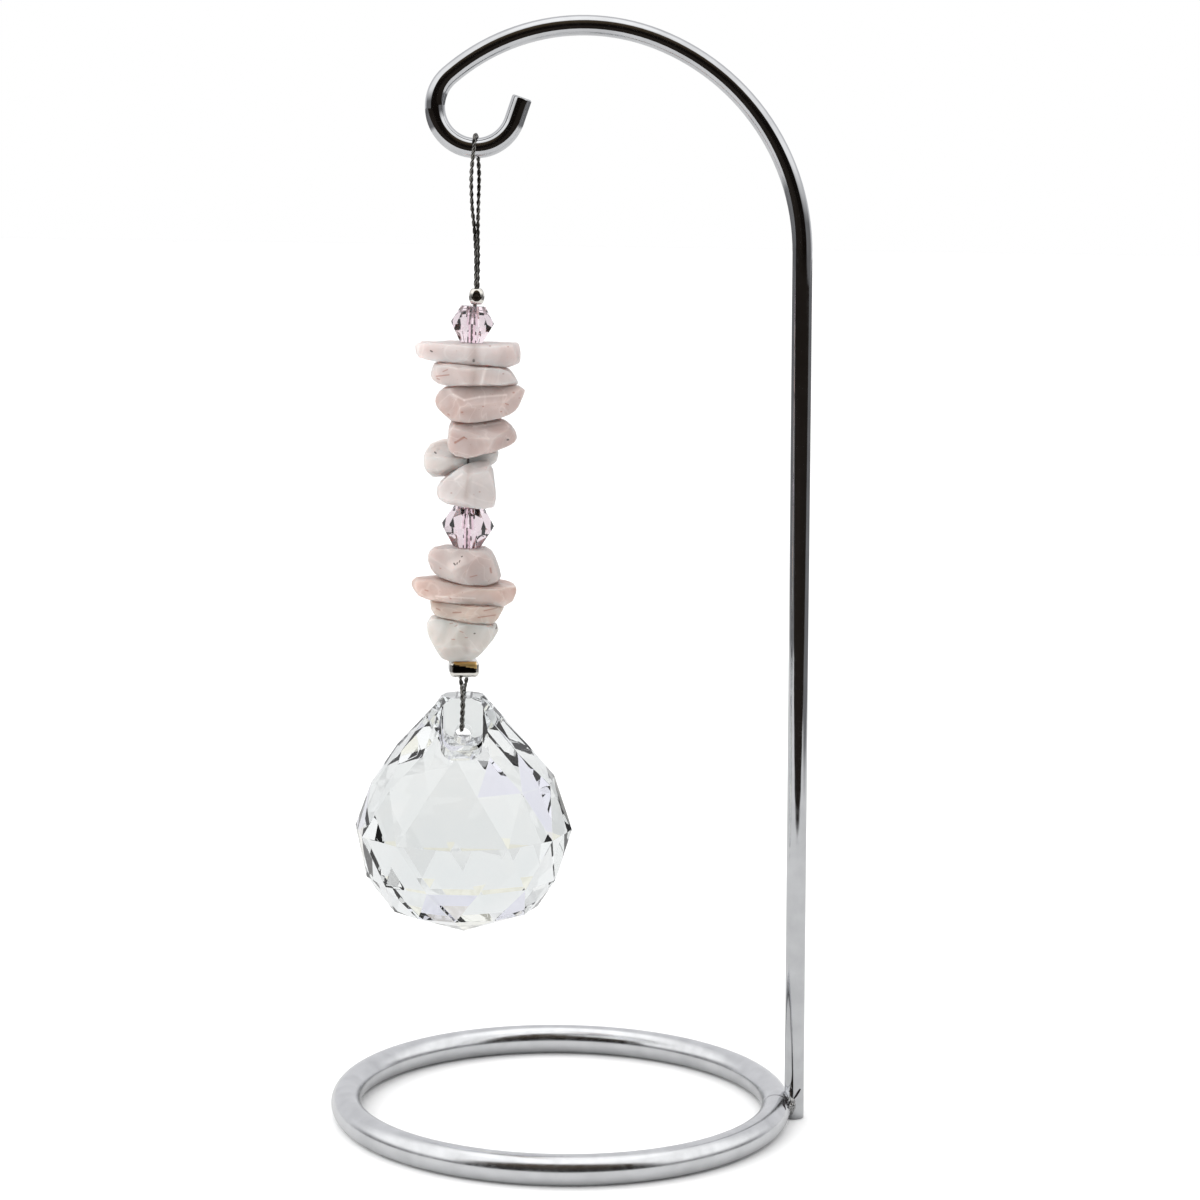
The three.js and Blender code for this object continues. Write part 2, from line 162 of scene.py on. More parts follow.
def raised(nodes, links, skin, height, depth, under=None):
    """Relief on a surface, depth in metres, over the relief of another one."""
    bump = nodes.new("ShaderNodeBump")
    bump.inputs["Strength"].default_value = 1
    bump.inputs["Distance"].default_value = depth
    links.new(height, bump.inputs["Height"])
    if under is not None:
        links.new(under, bump.inputs["Normal"])
    links.new(bump.outputs["Normal"], skin.inputs["Normal"])
    return bump.outputs["Normal"]


def plated(name, bright, dull, low, high, wave, scratch):
    """Plated metal: colour cloud, uneven polish, long waves of the rod, fine polishing marks."""
    finish, nodes, links, skin = new_finish(name)
    skin.inputs["Metallic"].default_value = 1
    cloud = grain(nodes, links, 320, 5)
    colour = blended(nodes, links, between(nodes, links, cloud, 0, 1), bright, dull)
    links.new(colour, skin.inputs["Base Color"])
    polish = grain(nodes, links, 900, 6, shift=0.3)
    links.new(between(nodes, links, polish, low, high), skin.inputs["Roughness"])
    waves = raised(nodes, links, skin, grain(nodes, links, 130, 1, shift=0.8), wave)
    raised(nodes, links, skin, grain(nodes, links, 5200, 3, distortion=1.5), scratch, waves)
    return finish


def settle(piece, finish, slot, *nodes_replaced):
    """Gives a piece its finish and its place on the stand."""
    if finish is not None:
        piece.data.materials.clear()
        piece.data.materials.append(finish)
    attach(piece, "root")
    if nodes_replaced:
        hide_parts(*nodes_replaced)


ring_angles = [2 * math.pi * k / ring_steps for k in range(ring_steps)]
ring_angles += [butt_weld_angle + math.radians(step) for step in joint_steps]
ring_angles.sort()
ring_path = []
ring_radii = []
for angle in ring_angles:
    ring_path.append(ring_centre + ring_radius * Vector((math.cos(angle), math.sin(angle), 0)))
    from_weld = math.degrees(abs(angle - butt_weld_angle))
    ring_radii.append(ring_rod - joint_groove * math.exp(-(from_weld / joint_spread) ** 2))
ring_corners, ring_faces = swept(ring_path, ring_radii, round_sides, closed=True)
for corner in ring_corners:
    corner.z = max(corner.z, 0)
base_ring = made("base_ring_chromed", [(ring_corners, ring_faces)])
ring_chrome = plated("ring_chrome", srgb(222, 223, 225), srgb(206, 207, 209), 0.16, 0.26,
                     0.00004, 0.0000015)
settle(base_ring, ring_chrome, "chrome", "base_ring")
# The joint is scorched dark, but for the underside, which rests on the table.
scorched = plated("scorched_steel", srgb(70, 64, 66), srgb(26, 23, 25), 0.2, 0.4, 0.00002, 0.000003)
base_ring.data.materials.append(scorched)
for face in base_ring.data.polygons:
    way = face.center - ring_centre
    from_weld = math.degrees(math.atan2(way.y, way.x) - butt_weld_angle) + 360
    if abs(from_weld) < 0.2 and way.z > 0.3 * mm:
        face.material_index = 1


# Bent rod
# One length of 2.7 mm steel rod: upright, arch and hook, cold bent in the flat and
# chromed. Its foot stands beside the ring. The tip of the hook is cut, its edge broken.
rod_radius = 1.35 * mm
foot = Vector((31.575, 0, 0.06)) * mm
rod_runs = [("straight", 119.91), ("bend", 30.34, 69.1), ("bend", 27.52, 61.4), ("bend", 5.43, 210.3),
            ("straight", 3.25)]


def bent_line(start, heading, runs):
    """Centreline in the XZ plane, through straight runs in mm and bends in mm and degrees."""
    line = [start.copy()]
    bend_centres = []
    for run in runs:
        place = line[-1].copy()
        if run[0] == "straight":
            along = Vector((math.cos(heading), 0, math.sin(heading)))
            steps = max(2, round(run[1] / 0.8))
            line.extend(place + along * (run[1] * mm * i / steps) for i in range(1, steps + 1))
            continue
        inward = Vector((-math.sin(heading), 0, math.cos(heading)))
        centre = place + inward * run[1] * mm
        bend_centres.append(centre)
        steps = round(run[2] / 2.5)
        for i in range(1, steps + 1):
            turned = heading + math.radians(run[2]) * i / steps
            line.append(centre + Vector((math.sin(turned), 0, -math.cos(turned))) * run[1] * mm)
        heading += math.radians(run[2])
    return line, bend_centres


rod_line, bend_centres = bent_line(foot, math.radians(90.84), rod_runs)
tip_way = (rod_line[-1] - rod_line[-2]).normalized()
tip_end = rod_line.pop()
rod_radii = [rod_radius] * len(rod_line)
tip_round = 0.28 * mm
for degrees in range(0, 91, 15):
    turn = math.radians(degrees)
    rod_line.append(tip_end - tip_way * tip_round * (1 - math.sin(turn)))
    rod_radii.append(rod_radius - tip_round * (1 - math.cos(turn)))
hook_rod = made("hook_rod_chromed", [swept(rod_line, rod_radii, round_sides)])
rod_chrome = plated("rod_chrome", srgb(204, 205, 207), srgb(190, 191, 193), 0.03, 0.08,
                    0.00004, 0.0000006)
settle(hook_rod, rod_chrome, "chrome", "hook_rod")


# Weld
# The upright is set a little into the outside of the ring and welded there from both
# sides. The bead of weld was brushed over and plated with the rest, and stays lumpy.
weld_middle = Vector((31.05, 0, 2.05)) * mm
weld_half = Vector((0.85, 2.05, 1.55)) * mm


def lump(name, middle, half, rough, fineness):
    """A small uneven mass of metal round a middle."""
    blank = bmesh.new()
    bmesh.ops.create_icosphere(blank, subdivisions=5, radius=1)
    for corner in blank.verts:
        way = corner.co.copy()
        swell = 1 + rough * noise.fractal(way * fineness, 0.6, 2.1, 4)
        corner.co = middle + Vector((way.x * half.x, way.y * half.y, way.z * half.z)) * swell
        corner.co.z = max(corner.co.z, 0.05 * mm)
    mesh = bpy.data.meshes.new(name)
    blank.to_mesh(mesh)
    blank.free()
    mesh.shade_smooth()
    piece = bpy.data.objects.new(name, mesh)
    bpy.context.scene.collection.objects.link(piece)
    return piece


weld = lump("foot_weld", weld_middle, weld_half, 0.16, 2.2)
weld_chrome = plated("weld_chrome", srgb(190, 190, 190), srgb(150, 149, 147), 0.16, 0.34,
                     0.00005, 0.000004)
settle(weld, weld_chrome, "chrome")
# Scorched strokes beside the weld, as points on the metal in mm.
weld_strokes = [
    [(32.32, -1.16, 4.41), (31.9, -1.32, 3.79), (31.42, -1.38, 3.03)],
    [(29.94, -1.25, 3.79), (30.05, -2.6, 3.7), (30.1, -4.08, 3.57), (30.49, -4.96, 2.7)],
    [(29.52, -4.39, 3.87), (29.67, -5.95, 3.65), (29.91, -6.74, 3.15)],
    [(30.91, -1.69, 2.89), (30.59, -3.41, 2.93), (30.24, -5.42, 3.01)],
    [(30.6, -2.3, 3.3), (30.3, -3.2, 3.4), (30.15, -4.6, 3.3)],
]
stroke_half = 0.16 * mm
stroke_parts = []
for stroke in weld_strokes:
    points = [Vector(point) * mm for point in stroke]
    line = []
    for here, there in zip(points, points[1:]):
        line += [here.lerp(there, step / 6) for step in range(6)]
    line.append(points[-1])
    shares = [(i + 0.6) / (len(line) + 0.2) for i in range(len(line))]
    widths = [stroke_half * math.sin(math.pi * share) ** 0.5 for share in shares]
    stroke_parts.append(swept(line, widths, 8))
settle(made("weld_scorch", stroke_parts), scorched, "chrome")


# Hanging wire
# Fine beading wire, two plies twisted. It loops over the hook, is pinched in the crimp,
# runs down through every bead and ends in a second loop through the hole in the ball.
hook_seat = bend_centres[-1] - Vector((0, 0, 5.43 * mm))
string_lean = math.tan(math.radians(0.75))
crimp_low, crimp_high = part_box("crimp_bead")
bead_low, bead_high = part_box("square_bead")
neck_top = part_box("crystal_ball")[1].z
ply = 0.15 * mm
inner_ply = 0.13 * mm
lay = 2.0 * mm


def string_at(z, across=0.0, behind=0.0):
    """A point of the string at a height in metres, with offsets in mm."""
    x = hook_seat.x - (hook_seat.z - z) * string_lean
    return Vector((x + across * mm, behind * mm, z))


def eased(points, steps):
    """Smooth line through points."""
    line = []
    for i in range(len(points) - 1):
        before = points[max(i - 1, 0)]
        here = points[i]
        there = points[i + 1]
        after = points[min(i + 2, len(points) - 1)]
        for k in range(steps):
            t = k / steps
            line.append(0.5 * (2 * here + (there - before) * t
                               + (2 * before - 5 * here + 4 * there - after) * t ** 2
                               + (3 * here - before - 3 * there + after) * t ** 3))
    line.append(points[-1].copy())
    return line


def twisted(line, ply_radius, lay_length, phase=0.0):
    """Two plies wound round each other along a line."""
    plies = ([], [])
    run = 0.0
    out = None
    for i, place in enumerate(line):
        ahead = (line[min(i + 1, len(line) - 1)] - line[max(i - 1, 0)]).normalized()
        if out is None:
            out = ahead.orthogonal()
        out = (out - ahead * out.dot(ahead)).normalized()
        across = ahead.cross(out)
        if i:
            run += (place - line[i - 1]).length
        turn = phase + 2 * math.pi * run / lay_length
        for side, strand in zip((1, -1), plies):
            strand.append(place + side * ply_radius * (math.cos(turn) * out + math.sin(turn) * across))
    return [swept(strand, [ply_radius] * len(strand), 8) for strand in plies]


over_hook = rod_radius / mm + 0.4
crimp_middle = (crimp_low.z + crimp_high.z) / 2
front_leg = [
    string_at(crimp_middle, 0.5, -0.2),
    string_at(crimp_high.z + 1 * mm, 0.45, -0.27),
    string_at(crimp_high.z + 4.5 * mm, 0.38, -0.3),
    string_at(crimp_high.z + 8 * mm, 0.12, -0.36),
    string_at(crimp_high.z + 11 * mm, -0.25, -0.7),
    string_at(crimp_high.z + 14.5 * mm, -0.42, -1.25),
    string_at(crimp_high.z + 16.7 * mm, -0.32, -1.6),
    string_at(hook_seat.z, -0.15, -over_hook),
]
back_leg = [
    string_at(hook_seat.z, 0.15, over_hook),
    string_at(crimp_high.z + 16.7 * mm, 0.42, 1.6),
    string_at(crimp_high.z + 14.5 * mm, 0.55, 1.25),
    string_at(crimp_high.z + 11 * mm, 0.55, 0.7),
    string_at(crimp_high.z + 8 * mm, 0.56, 0.36),
    string_at(crimp_high.z + 4.5 * mm, 0.7, 0.3),
    string_at(crimp_high.z + 1 * mm, 0.72, 0.27),
    string_at(crimp_middle, 0.7, 0.2),
]
bearing = []
for step in range(1, 12):
    turn = math.pi * (1 - step / 12)
    across = -0.15 * math.cos(math.pi * step / 12)
    height = hook_seat.z + over_hook * mm * math.sin(turn)
    bearing.append(string_at(height, across, over_hook * math.cos(turn)))
upper_loop = eased(front_leg + bearing + back_leg, 7)
through = eased([
    string_at(crimp_middle, 0.6),
    string_at(crimp_low.z - 0.2 * mm, 0.4),
    string_at(crimp_low.z - 5 * mm),
    string_at((crimp_low.z + bead_low.z) / 2),
    string_at((bead_low.z + bead_high.z) / 2),
], 60)
hole_z = neck_top - 5.3 * mm
hole_top = 0.95
lower_points = []
for side in (-1, 1):
    leg = [
        string_at((bead_low.z + bead_high.z) / 2, 0.3 * side, 0.25 * side),
        string_at(bead_low.z - 0.1 * mm, 0.42 * side, 0.3 * side),
        string_at(bead_low.z - 1.3 * mm, 0.22 * side, 0.9 * side),
        string_at(neck_top + 0.35 * mm, 0.05 * side, 2.7 * side),
        string_at(neck_top - 1.4 * mm, 0.0, 2.95 * side),
        string_at(hole_z + hole_top * mm + 0.5 * mm, -0.05, 2.95 * side),
        string_at(hole_z + hole_top * mm - 0.1 * mm, -0.05, 2.4 * side),
    ]
    lower_points += leg if side < 0 else leg[::-1]
lower_loop = eased(lower_points, 12)
wire = made("beading_wire", twisted(upper_loop, ply, lay) + twisted(through, inner_ply, lay)
            + twisted(lower_loop, ply, lay, 0.6))
wire_steel = plated("wire_steel", srgb(150, 148, 143), srgb(60, 58, 54), 0.05, 0.12, 0.00001, 0.000001)
settle(wire, wire_steel, "wire", "hanging_wire")


# Crimp bead
# A 2 mm silver-plated bead pressed shut over the wire's legs. It keeps its round
# outline, with a shallow dent from the pliers on its front and back.
def turned(name, profile, steps, middle, dent=None):
    """A closed ring turned from a profile of (radius, height) in mm."""
    corners = []
    faces = []
    count = len(profile)
    for i in range(steps):
        angle = 2 * math.pi * i / steps
        for radius, height in profile:
            corner = Vector((radius * math.cos(angle), radius * math.sin(angle), height))
            if dent is not None:
                corner = dent(corner)
            corners.append(middle + corner * mm)
    for i in range(steps):
        here = i * count
        there = (i + 1) % steps * count
        for k in range(count):
            k2 = (k + 1) % count
            faces.append((here + k, there + k, there + k2, here + k2))
    return made(name, [(corners, faces)])


def pinched(corner):
    """The pliers' marks press the middle of the front and back inwards."""
    depth = 0.13 * math.exp(-(corner.x / 0.45) ** 2 - (corner.z / 0.5) ** 2)
    out = math.hypot(corner.x, corner.y)
    if out > 0.8:
        corner.y -= math.copysign(depth, corner.y)
    return corner


crimp_profile = []
for step in range(25):
    turn = math.radians(-62 + 124 * step / 24)
    crimp_profile.append((0.33 + 0.72 * math.cos(turn), 1.19 * math.sin(turn)))
crimp_profile += [(0.55, 1.0), (0.5, 0.8), (0.5, 0), (0.5, -0.8), (0.55, -1.0)]
crimp = turned("crimp_bead_silver", crimp_profile, 48, (crimp_low + crimp_high) / 2, pinched)
silver = plated("silver_plate", srgb(236, 233, 227), srgb(214, 210, 202), 0.05, 0.13, 0.00003, 0.000001)
settle(crimp, silver, "silver", "crimp_bead")


# Glass bicones
# Machine-cut glass, pale rose, with long facets that meet in a zigzag at the waist and
# a straight drilled bore. The facets are polished; the bore, matt on the real bead, is polished alike
# here.
def cut_glass(name, tint, deep, roughness, index):
    """Clear glass by the shader's own values, with a faint cloud in its tint."""
    finish, nodes, links, skin = new_finish(name)
    skin.inputs["Transmission Weight"].default_value = 1
    skin.inputs["IOR"].default_value = index
    skin.inputs["Roughness"].default_value = roughness
    cloud = grain(nodes, links, 260, 3, shift=0.5)
    colour = blended(nodes, links, between(nodes, links, cloud, 0, 1), tint, deep)
    links.new(colour, skin.inputs["Base Color"])
    raised(nodes, links, skin, grain(nodes, links, 900, 2, shift=0.2), 0.0000004)
    return finish


glass_index = 1.56
rose_glass = cut_glass("rose_glass", srgb(254, 242, 248), srgb(251, 230, 240), 0.0, glass_index)
for name in ("upper_bicone", "lower_bicone"):
    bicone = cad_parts[name]
    bicone.data.materials.clear()
    bicone.data.materials.append(rose_glass)


# Quartz chips
# Tumbled chips of rose quartz, each drilled through: cloudy stone with pale veins,
# rust-coloured specks, small pits that the tumbling left, and a soft shine.
# Painted shade marks the bore inside some stones, and painted highlights lie on two ridges.

# Deep and pale colour of each stone, and how rusty it is.
chip_looks = {
    1: (srgb(191, 180, 177), srgb(204, 196, 194), 0.35),
    2: (srgb(188, 175, 171), srgb(202, 192, 189), 0.55),
    3: (srgb(176, 158, 152), srgb(192, 179, 175), 0.75),
    4: (srgb(171, 154, 149), srgb(187, 175, 171), 0.6),
    5: (srgb(180, 174, 170), srgb(194, 190, 187), 0.3),
    6: (srgb(185, 179, 177), srgb(200, 195, 193), 0.35),
    7: (srgb(174, 161, 157), srgb(189, 180, 176), 0.7),
    8: (srgb(181, 160, 151), srgb(196, 179, 172), 0.7),
    9: (srgb(186, 166, 155), srgb(199, 184, 174), 0.95),
    10: (srgb(183, 179, 173), srgb(198, 195, 191), 0.3),
}
# Flats ground on each stone: turn to the right of its front and rise in degrees, and the
# share of the stone's depth that is left there.
chip_flats = {
    1: [(-12, 6, 0.86), (20, -8, 0.88), (170, 10, 0.85), (200, -15, 0.88), (80, 20, 0.93)],
    2: [(-28, -18, 0.80), (24, 10, 0.84), (165, -10, 0.84), (205, 12, 0.86)],
    3: [(4, 42, 0.72), (10, -14, 0.84), (-48, 4, 0.80), (52, -16, 0.84), (170, 20, 0.8),
        (195, -25, 0.82)],
    4: [(6, 46, 0.74), (-14, -10, 0.82), (46, -20, 0.80), (170, 24, 0.8), (200, -20, 0.82)],
    5: [(-22, 14, 0.86), (16, -22, 0.86), (175, 0, 0.84), (215, 20, 0.86)],
    6: [(-30, 16, 0.82), (18, -4, 0.84), (2, 50, 0.84), (170, 16, 0.84), (200, -20, 0.84)],
    7: [(-16, 30, 0.80), (22, -8, 0.84), (-40, -20, 0.82), (170, 12, 0.84), (205, -16, 0.84)],
    8: [(-10, 34, 0.78), (8, -26, 0.80), (50, 10, 0.86), (170, 18, 0.82), (195, -22, 0.84)],
    9: [(-20, 18, 0.80), (26, -14, 0.82), (172, 10, 0.84), (200, -18, 0.84)],
    10: [(-24, 20, 0.82), (20, 8, 0.84), (4, -38, 0.80), (168, 14, 0.84), (198, -24, 0.84)],
}
# Marks seen in each stone: ends as (x, z) in mm, half width in mm, and kind. The "shade" marks are
# painted shade of the bore and wire inside the stone.
chip_marks = {
    # Chip 1: the dark dot at the foot of its "shade" column is painted shade in the mouth of the bore.
    1: [((-19.8, 106.4), (-19.6, 106.3), 0.09, "dark"), ((-14.0, 105.3), (-14.0, 105.2), 0.17, "dark"),
        ((-13.9, 107.2), (-13.8, 105.5), 0.45, "shade"), ((-9.5, 107.1), (-9.4, 107.1), 0.08, "rust"),
        ((-11.9, 107.2), (-11.8, 107.2), 0.08, "rust"), ((-12.9, 104.8), (-10.9, 104.5), 0.09, "pale")],
    2: [((-18.6, 104.7), (-14.6, 104.6), 0.09, "pale"), ((-19.0, 103.0), (-17.3, 103.3), 0.09, "rust"),
        ((-18.1, 103.7), (-17.5, 104.0), 0.08, "rust"), ((-18.9, 102.7), (-18.6, 102.6), 0.1, "rust"),
        ((-13.5, 105.0), (-14.1, 102.0), 0.4, "shade"), ((-12.4, 104.3), (-13.0, 102.0), 0.16, "pale"),
        ((-10.1, 103.5), (-10.0, 103.5), 0.08, "rust"), ((-8.1, 103.2), (-8.0, 102.7), 0.08, "rust")],
    # Chip 3: the pale line along its top ridge is a painted highlight.
    3: [((-16.7, 100.7), (-15.2, 100.0), 0.11, "pale"), ((-15.2, 100.0), (-13.2, 100.4), 0.11, "pale"),
        ((-13.2, 100.4), (-9.6, 100.7), 0.11, "pale"), ((-15.5, 98.4), (-15.4, 98.4), 0.12, "rust"),
        ((-17.4, 98.0), (-17.2, 97.9), 0.11, "rust"), ((-8.7, 101.0), (-8.6, 101.0), 0.11, "rust"),
        ((-9.7, 99.6), (-9.3, 99.4), 0.08, "rust"), ((-10.3, 98.5), (-10.2, 98.5), 0.09, "rust"),
        ((-7.9, 100.2), (-7.8, 100.2), 0.08, "rust"), ((-12.7, 99.2), (-12.6, 99.2), 0.09, "rust")],
    # Chip 4: the pale line along its ridge is a painted highlight.
    4: [((-14.0, 96.4), (-12.4, 96.6), 0.12, "pale"), ((-12.4, 96.6), (-10.4, 96.9), 0.12, "pale"),
        ((-12.5, 96.75), (-12.3, 96.75), 0.1, "rust"), ((-16.4, 94.2), (-15.2, 95.0), 0.14, "rust"),
        ((-15.2, 95.0), (-14.8, 94.8), 0.08, "rust"), ((-9.4, 94.6), (-9.3, 94.6), 0.12, "dark")],
    # Chip 5: the dark line down its middle is painted shade where the wire shows in the gap between
    # chips 4 and 6.
    5: [((-19.3, 92.45), (-19.1, 92.35), 0.09, "dark"), ((-16.2, 90.5), (-15.4, 91.0), 0.11, "pale"),
        ((-14.7, 92.3), (-14.7, 90.9), 0.15, "dark")],
    6: [((-16.9, 87.4), (-16.8, 87.4), 0.08, "rust"), ((-13.1, 87.6), (-13.0, 87.6), 0.08, "rust"),
        ((-14.6, 90.8), (-14.9, 87.2), 0.4, "shade"), ((-16.4, 89.2), (-15.4, 90.0), 0.11, "pale")],
    7: [((-16.7, 77.6), (-15.4, 78.4), 0.45, "pale"), ((-16.4, 77.9), (-16.25, 77.75), 0.1, "dark"),
        ((-16.0, 77.85), (-15.95, 78.0), 0.08, "dark"), ((-15.7, 78.1), (-15.6, 78.3), 0.07, "dark"),
        ((-15.4, 78.8), (-15.3, 78.85), 0.08, "dark"), ((-11.5, 77.2), (-11.4, 76.6), 0.12, "rust"),
        ((-18.3, 77.1), (-18.2, 77.1), 0.09, "rust"), ((-14.2, 76.1), (-13.3, 76.3), 0.08, "rust")],
    8: [((-17.0, 73.3), (-16.8, 73.1), 0.12, "rust"), ((-20.3, 74.1), (-19.9, 74.0), 0.09, "rust"),
        ((-18.8, 73.4), (-13.5, 73.1), 0.09, "pale"), ((-10.3, 74.8), (-8.3, 74.4), 0.09, "pale")],
    9: [((-15.4, 72.2), (-15.3, 72.2), 0.09, "rust"), ((-13.0, 72.2), (-12.9, 72.2), 0.11, "rust"),
        ((-16.5, 71.1), (-15.4, 71.2), 0.09, "rust"), ((-13.1, 70.5), (-10.8, 70.7), 0.08, "rust"),
        ((-12.3, 71.4), (-10.6, 71.7), 0.08, "rust"), ((-12.6, 72.0), (-10.3, 71.9), 0.07, "rust"),
        ((-18.8, 71.5), (-18.3, 71.3), 0.08, "rust")],
    10: [((-16.9, 69.6), (-16.5, 69.7), 0.07, "rust"), ((-16.2, 69.3), (-15.9, 69.5), 0.07, "rust"),
         ((-15.5, 68.7), (-15.1, 68.5), 0.07, "rust"), ((-16.6, 67.6), (-16.2, 67.6), 0.07, "rust"),
         ((-14.8, 67.8), (-14.5, 67.8), 0.07, "rust"), ((-13.6, 68.3), (-13.5, 68.3), 0.09, "dark"),
         ((-10.7, 68.7), (-10.4, 69.1), 0.09, "dark"), ((-14.8, 66.7), (-14.5, 65.9), 0.35, "shade"),
         ((-19.7, 69.8), (-18.8, 70.1), 0.12, "pale")],
}
# Colours of the marks: "shade" is painted shade, and "pale" serves for pale veins and for painted
# highlights on ridges.
mark_looks = {
    "dark": (srgb(52, 42, 38), 0.9),
    "rust": (srgb(146, 92, 74), 0.6),
    "shade": (srgb(150, 138, 132), 0.45),
    "pale": (srgb(236, 228, 224), 0.45),
}
chip_grain = 0.14 * mm
# Heights on the stones' skin in mm, and how much of what stands over a flat is ground off.
chip_swell = 0.09
chip_ripple = 0.07
chip_coarse = 0.012
chip_dimple = 0.35
flat_ground = 0.92


def marked(nodes, links, colour, start, end, half_width, kind):
    """A speck, vein, stain, painted shade or painted highlight round a line through the stone, from
    front to back.
    """
    place = nodes.new("ShaderNodeTexCoord")
    flat = nodes.new("ShaderNodeMapping")
    flat.inputs["Scale"].default_value = (1, 0, 1)
    links.new(place.outputs["Object"], flat.inputs["Vector"])
    first = Vector((start[0], 0, start[1])) * mm
    run = Vector((end[0], 0, end[1])) * mm - first
    from_first = nodes.new("ShaderNodeVectorMath")
    from_first.operation = "SUBTRACT"
    links.new(flat.outputs["Vector"], from_first.inputs[0])
    from_first.inputs[1].default_value = first
    along = nodes.new("ShaderNodeVectorMath")
    along.operation = "DOT_PRODUCT"
    links.new(from_first.outputs["Vector"], along.inputs[0])
    along.inputs[1].default_value = run / run.length_squared
    share = between(nodes, links, along.outputs["Value"], 0, 1, 0, 1)
    nearest = nodes.new("ShaderNodeVectorMath")
    nearest.operation = "SCALE"
    nearest.inputs[0].default_value = run
    links.new(share, nearest.inputs["Scale"])
    apart = nodes.new("ShaderNodeVectorMath")
    apart.operation = "DISTANCE"
    links.new(from_first.outputs["Vector"], apart.inputs[0])
    links.new(nearest.outputs["Vector"], apart.inputs[1])
    tint, strength = mark_looks[kind]
    soft = 0.4 if kind in ("dark", "rust") else 1.0
    share = between(nodes, links, apart.outputs["Value"], strength, 0,
                    half_width * (1 - soft) * mm, half_width * (1 + soft) * mm)
    return blended(nodes, links, share, colour, tint)


def ground(place, middle, flats):
    """Pulls a point back to the flats that tumbling has ground on a stone."""
    for out, distance in flats:
        over = (place - middle).dot(out) - distance
        if over > 0:
            place = place - out * over * flat_ground
    return place


def tumbled(name, index):
    """A fine copy of a drilled chip, smoothed as tumbling does, with small dents and ripples."""
    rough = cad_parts[name].data.copy()
    stone = bpy.data.objects.new(name + "_stone", rough)
    bpy.context.scene.collection.objects.link(stone)
    fine = stone.modifiers.new("fine", "REMESH")
    fine.mode = "VOXEL"
    fine.voxel_size = chip_grain
    worn = stone.modifiers.new("worn", "SMOOTH")
    worn.factor = 0.5
    worn.iterations = 4
    bpy.context.view_layer.update()
    settled = bpy.data.meshes.new_from_object(stone.evaluated_get(bpy.context.evaluated_depsgraph_get()))
    stone.modifiers.clear()
    stone.data = settled
    apart = Vector((index * 3.1, index * 1.7, index * 2.3))
    low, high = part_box(name)
    middle = (low + high) / 2
    flats = []
    for turn, rise, share in chip_flats[index]:
        turn = math.radians(turn)
        rise = math.radians(rise)
        out = Vector((math.sin(turn) * math.cos(rise), -math.cos(turn) * math.cos(rise), math.sin(rise)))
        furthest = max((corner.co - middle).dot(out) for corner in settled.vertices)
        flats.append((out, furthest * share))
    outward = [corner.normal.copy() for corner in settled.vertices]
    moved = []
    for corner, out in zip(settled.vertices, outward):
        place = corner.co / mm
        ripple = noise.fractal(place * 0.55 + apart, 0.9, 2.0, 3)
        coarse = noise.fractal(place * 2.4 - apart, 0.7, 2.0, 3)
        dimple = max(0, noise.noise(place * 1.9 - apart) - 0.42)
        growth = chip_swell + chip_ripple * ripple + chip_coarse * coarse - chip_dimple * dimple
        moved.extend(ground(corner.co + out * mm * growth, middle, flats))
    settled.vertices.foreach_set("co", moved)
    settled.shade_smooth()
    return stone


def quartz(name, deep, pale, rusty, shift, marks):
    """Cloudy stone: light goes into it and spreads, veins are paler, specks are rust, and the marks add
    specks, stains, painted shade of the bore and painted highlights on ridges.
    """
    finish, nodes, links, skin = new_finish(name)
    cloud = grain(nodes, links, 230, 5, distortion=0.8, shift=shift)
    colour = blended(nodes, links, between(nodes, links, cloud, 0, 1, 0.36, 0.64), deep, pale)
    vein = grain(nodes, links, 120, 2, distortion=1.6, shift=shift + 0.4)
    off_line = nodes.new("ShaderNodeMath")
    off_line.operation = "SUBTRACT"
    off_line.inputs[1].default_value = 0.5
    links.new(vein, off_line.inputs[0])
    apart = nodes.new("ShaderNodeMath")
    apart.operation = "ABSOLUTE"
    links.new(off_line.outputs[0], apart.inputs[0])
    vein_share = between(nodes, links, apart.outputs[0], 0.16, 0, 0.0, 0.02)
    colour = blended(nodes, links, vein_share, colour, srgb(244, 238, 234))
    speck = grain(nodes, links, 2600, 3, shift=shift + 0.9)
    speck_share = between(nodes, links, speck, 0, rusty, 0.69, 0.75)
    colour = blended(nodes, links, speck_share, colour, mark_looks["rust"][0])
    for mark in marks:
        colour = marked(nodes, links, colour, *mark)
    links.new(colour, skin.inputs["Base Color"])
    skin.inputs["IOR"].default_value = 1.54
    skin.inputs["Transmission Weight"].default_value = 0.2
    skin.inputs["Specular IOR Level"].default_value = 0.3
    skin.inputs["Subsurface Weight"].default_value = 1
    skin.inputs["Subsurface Radius"].default_value = (1.0, 0.75, 0.7)
    skin.inputs["Subsurface Scale"].default_value = 0.005
    shine = grain(nodes, links, 500, 4, shift=shift + 0.1)
    links.new(between(nodes, links, shine, 0.28, 0.44), skin.inputs["Roughness"])
    raised(nodes, links, skin, grain(nodes, links, 1600, 3, shift=shift), 0.000016)
    return finish


for index, (deep, pale, rusty) in chip_looks.items():
    node = f"quartz_chip_{index}"
    chip = tumbled(node, index)
    slot = "pale_quartz" if index in (1, 2, 5, 6, 10) else "rose_quartz"
    stone_look = quartz(f"quartz_{index}", deep, pale, rusty, 0.11 * index, chip_marks[index])
    settle(chip, stone_look, slot, node)
